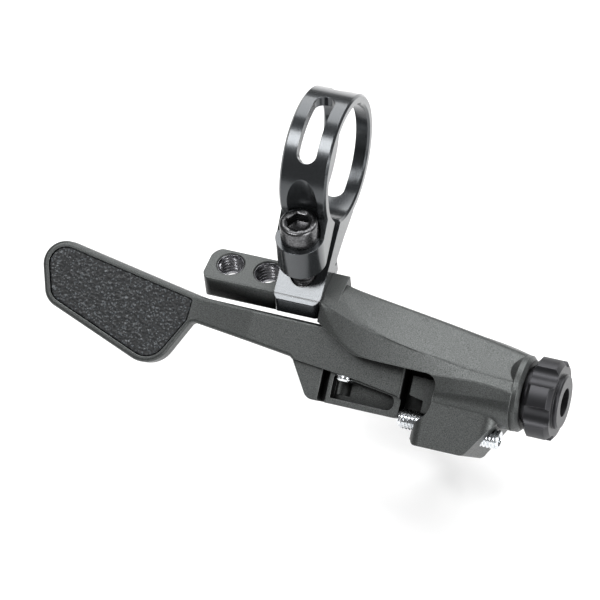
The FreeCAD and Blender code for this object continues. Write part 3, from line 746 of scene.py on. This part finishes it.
# %% Tapped holes in the rail
second_hole = next(mount for mount in frame["record"]["mounts"] if mount["name"] == "rail_hole_middle")
hole_step = second_hole["pos_m"][0]
hole_radius = second_hole["dims"]["r_mm"] * MM
rail_top = -17.6 * MM
rail_bottom = -23.1 * MM
lowest_turn = rail_bottom + 0.35 * MM
highest_turn = rail_top - 0.45 * MM
sleeve_end = 0.2 * MM
wall_overlap = 0.02 * MM
hole_first_depth = 0.15
hole_count = 3


def make_tapped_hole(index):
    """The thread in one hole, as a closed sleeve against the hole's wall."""
    crest = hole_radius - 0.5 * bolt_pitch
    root = hole_radius - wall_overlap
    wall = hole_radius + wall_overlap
    top = highest_turn + sleeve_end
    bottom = lowest_turn - sleeve_end
    rows = [round_ring(bottom, root)]
    steps = round((highest_turn - lowest_turn) / (bolt_pitch / rings_per_turn))
    for k in range(steps + 1):
        height = lowest_turn + (highest_turn - lowest_turn) * k / steps
        to_end = min(height - lowest_turn, highest_turn - height)
        grow = min(1.0, to_end / bolt_pitch + hole_first_depth)
        rows.append(thread_ring(height, bolt_pitch, root, hole_radius + (crest - hole_radius) * grow))
    rows += [round_ring(top, root), round_ring(top, wall), round_ring(bottom, wall)]
    thread = skin("rail_thread_%d" % (index + 1), rows, close_ends=False)
    stand(thread, Vector((index * hole_step, bolt_middle.y, 0)), Vector((0, 0, 1)), thread_finish)
    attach(thread, "housing")


for index in range(hole_count):
    make_tapped_hole(index)

# %% [markdown]
# The thumb pad is covered with grip tape: grit on a film, cut to shape and set in a shallow recess.
# A smooth solid with bumps painted on would look flat at a glancing angle, so the grit is real here.
# The tape's solid is copied and rebuilt from small even cells, so that each point can be pushed out
# by noise in the next step.

# %% The tape in small cells
grain_cell = 0.17 * MM

tape_solid = nodes["grip_tape"]
tape = bpy.data.objects.new("grip_tape_grit", tape_solid.data.copy())
scene.collection.objects.link(tape)
rebuild = tape.modifiers.new("cells", "REMESH")
rebuild.mode = "VOXEL"
rebuild.voxel_size = grain_cell
tape_mesh = bpy.data.meshes.new_from_object(tape.evaluated_get(bpy.context.evaluated_depsgraph_get()))
tape.modifiers.clear()
tape.data = tape_mesh
print("cells of the tape:", len(tape_mesh.polygons))

# %% [markdown]
# The grains are about half a millimetre wide, and stand only on the open face, so that face has to be
# found first: it is the side of the solid that looks at the rider. Where the noise is low the film
# shows between the grains. A second, slower noise makes some patches coarser than others.

# %% The grit
square_on = 0.9
face_depth = 0.25 * MM
grain_width = 0.42 * MM
grain_height = 0.32 * MM
film_share = 0.38
film_sink = 0.05 * MM
patch_scale = 0.37
patch_least = 0.6
patch_more = 0.8

face_sum = Vector()
for polygon in tape_solid.data.polygons:
    if polygon.normal.dot(-AWAY) > square_on:
        face_sum += polygon.normal * polygon.area
outward = face_sum.normalized()
face_level = max(vertex.co.dot(outward) for vertex in tape_mesh.vertices)
for vertex in tape_mesh.vertices:
    depth = face_level - vertex.co.dot(outward)
    if depth < face_depth:
        place = vertex.co / grain_width
        grit = noise.noise(place) * 0.5 + 0.5
        patch = patch_least + patch_more * abs(noise.noise(place * patch_scale))
        rise = max(0.0, grit - film_share) * patch
        vertex.co += outward * (rise * grain_height - film_sink)
print("the tape's face looks towards:", [round(v, 3) for v in outward])

# %% [markdown]
# The grit is broken crystal in black resin. One could give the whole pad one dark tone and leave the
# rest to its bumps, but then it looks like tar. Here each cell of a texture stands for a grain, with
# a gloss of its own, and about a quarter of the grains carry a painted glint, a lighter colour, so the
# pad sparkles unevenly.

# %% The grit's finish
crystal_width = 0.26 * MM
chip_width = 0.12 * MM
chip_depth = 0.03 * MM


def grit_finish(name, dark, light):
    """Black grit: each grain has its own gloss, and some are lighter with a painted glint."""
    material, tree, shader = finish(name, (0.02, 0.02, 0.022), metallic=0.0, roughness=0.5)
    crystal = specks(tree, crystal_width)
    chips = grain(tree, chip_width, detail=3.0, roughness=0.7)
    # the brightest quarter of the crystal cells are lightened: a painted glint
    painted_glint = multiply(tree, spread(tree, crystal, 0.0, 1.0, start=0.72, end=1.0), chips)
    tree.links.new(tint(tree, painted_glint, dark, light), shader.inputs["Base Color"])
    tree.links.new(spread(tree, crystal, 0.75, 0.3), shader.inputs["Roughness"])
    relief(tree, shader, chips, chip_depth)
    return material


tape_mesh.materials.clear()
tape_mesh.materials.append(grit_finish("grip_tape", (0.0075, 0.0085, 0.0095), (0.145, 0.162, 0.178)))
tape_mesh.shade_smooth()
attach(tape, "thumb_lever")
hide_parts("grip_tape")
print("shader nodes in the grit:", len(tape_mesh.materials[0].node_tree.nodes))
